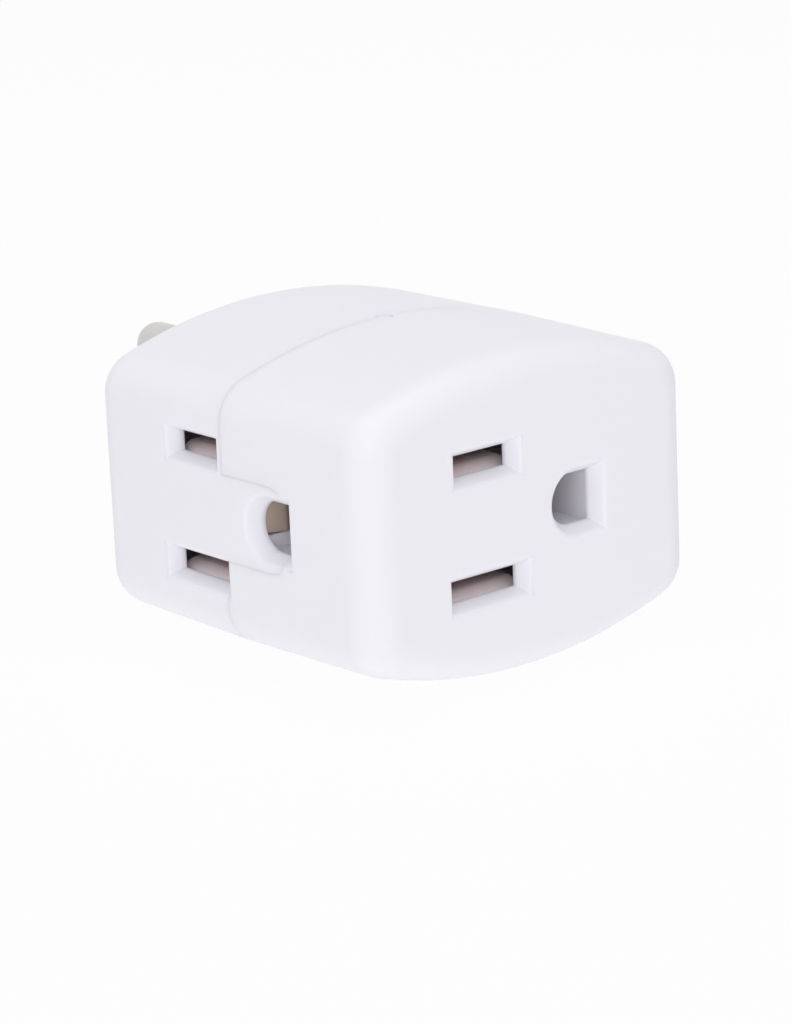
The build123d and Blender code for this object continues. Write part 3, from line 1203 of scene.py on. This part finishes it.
PLATED = DrawnMetal("plated_prong", (0.67, 0.66, 0.65, 1), (0.56, 0.55, 0.54, 1), 0.36)
STRIP = DrawnMetal(
    "brass_strip", (0.72, 0.53, 0.27, 1), (0.5, 0.35, 0.17, 1), 0.36, line_stretch=(0.05, 1, 1))
SPRING = DrawnMetal(
    "spring_bronze", (0.84, 0.745, 0.75, 1), (0.77, 0.675, 0.68, 1), 0.45, metallic=0.35)
EARTH_SPRING = DrawnMetal("earth_bronze", (0.64, 0.53, 0.44, 1), (0.54, 0.44, 0.36, 1), 0.5)


@dataclass(frozen=True)
class SoftLight:
    """Square soft lamp of the studio, in metres and watts."""

    name: str
    azimuth: float
    elevation: float
    distance: float
    size: float
    power: float

    def place(self, target: Vector) -> None:
        """Hang the lamp and turn it to the target.

        Args:
            target: Point that it lights.
        """
        turn, rise = math.radians(self.azimuth), math.radians(self.elevation)
        level = math.cos(rise)
        away = Vector((math.sin(turn) * level, -math.cos(turn) * level, math.sin(rise)))
        lamp = bpy.data.lights.new(self.name, "AREA")
        lamp.size = self.size
        lamp.energy = self.power
        obj = bpy.data.objects.new(self.name, lamp)
        bpy.context.scene.collection.objects.link(obj)
        obj.location = target + away * self.distance
        obj.rotation_euler = away.to_track_quat("Z", "Y").to_euler()


@dataclass
class Studio:
    """White table and surround, soft lamps and the camera."""

    floor_size: float = 6.0
    floor_colour: Numbers = (0.95, 0.95, 0.95, 1)
    floor_white_share: float = 0.92
    floor_glow: float = 0.7
    ambient: float = 0.5
    camera_place: Triple = (-0.25111, -0.32679, 0.10702)
    camera_turn: Triple = (74.270, 2.438, -40.215)
    camera_lens: float = 138.816
    camera_sensor: float = 36.0
    lamps: tuple[SoftLight, ...] = (
        SoftLight("key_lamp", -44, 18, 0.7, 0.5, 1.22),
        SoftLight("top_lamp", 0, 88, 0.7, 0.5, 1.6),
    )

    @staticmethod
    def seen(graph: Graph) -> Value:
        """One for rays that show the surround, directly or in a reflection, and zero for the rest."""
        camera, glossy, through = (
            graph.node("ShaderNodeLightPath", output=name)
            for name in ("Is Camera Ray", "Is Glossy Ray", "Is Transmission Ray")
        )
        return camera.larger(glossy).larger(through)

    def floor(self, level: float) -> None:
        """Lay the white table.

        Args:
            level: Height of the table top.
        """
        Workpiece.clear()
        bpy.ops.mesh.primitive_plane_add(size=self.floor_size, location=(0, 0, level))
        table = bpy.context.object
        table.name = "table"
        material = bpy.data.materials.new("white_table")
        graph = Graph(material)
        matt = graph.node("ShaderNodeBsdfDiffuse", inputs={"Color": self.floor_colour})
        white = graph.node("ShaderNodeEmission", inputs={"Color": WHITE, "Strength": 1.0})
        share = self.floor_glow + (self.floor_white_share - self.floor_glow) * self.seen(graph)
        mixed = graph.node("ShaderNodeMixShader", inputs={0: share, 1: matt, 2: white})
        graph.node("ShaderNodeOutputMaterial", inputs={"Surface": mixed})
        table.data.materials.append(material)

    def surround(self) -> None:
        """Set the even light of the room, which shows as white."""
        world = bpy.data.worlds.new("white_room")
        bpy.context.scene.world = world
        graph = Graph(world)
        light = graph.node("ShaderNodeBackground", inputs={"Color": WHITE, "Strength": self.ambient})
        white = graph.node("ShaderNodeBackground", inputs={"Color": WHITE, "Strength": 1.0})
        mixed = graph.node("ShaderNodeMixShader", inputs={0: self.seen(graph), 1: light, 2: white})
        graph.node("ShaderNodeOutputWorld", inputs={"Surface": mixed})

    def camera(self) -> None:
        """Set the camera at the photograph's viewing angle."""
        camera = bpy.data.objects.new("camera", bpy.data.cameras.new("camera"))
        bpy.context.scene.collection.objects.link(camera)
        camera.location = self.camera_place
        camera.rotation_euler = [math.radians(angle) for angle in self.camera_turn]
        camera.data.lens = self.camera_lens
        camera.data.sensor_width = self.camera_sensor
        bpy.context.scene.camera = camera

    def build(self, low: Vector, high: Vector) -> None:
        """Set up the studio round the object.

        Args:
            low: Lowest corner of the object.
            high: Highest corner of the object.
        """
        self.floor(low.z)
        self.surround()
        for lamp in self.lamps:
            lamp.place((low + high) / 2)
        self.camera()
        bpy.context.scene.view_settings.view_transform = "Standard"


def dress_inner_metal() -> None:
    """Give the strips, rivets and earth contacts their finishes."""
    strip, spring = STRIP.make(), EARTH_SPRING.make()
    for name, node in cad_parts.items():
        if "_busbar" in name or "_rivets" in name:
            finish = strip
        elif name.startswith("ground_contact_"):
            finish = spring
        else:
            continue
        for index in range(len(node.data.materials)):
            node.data.materials[index] = finish
        log.info("%s: %s", name, finish.name)


def main() -> None:
    """Build the adapter and report each piece."""
    logging.basicConfig(level=logging.INFO, format="%(name)s %(message)s")
    housing = Housing()
    pieces = housing.build(MouldedPlastic().make())
    pieces += Prongs().build(PLATED.make())
    pieces += Contacts(housing).build(SPRING.make())
    log.info("%d pieces modelled", len(pieces))
    dress_inner_metal()
    Studio().build(*cad_box)


if __name__ == "__main__":
    main()
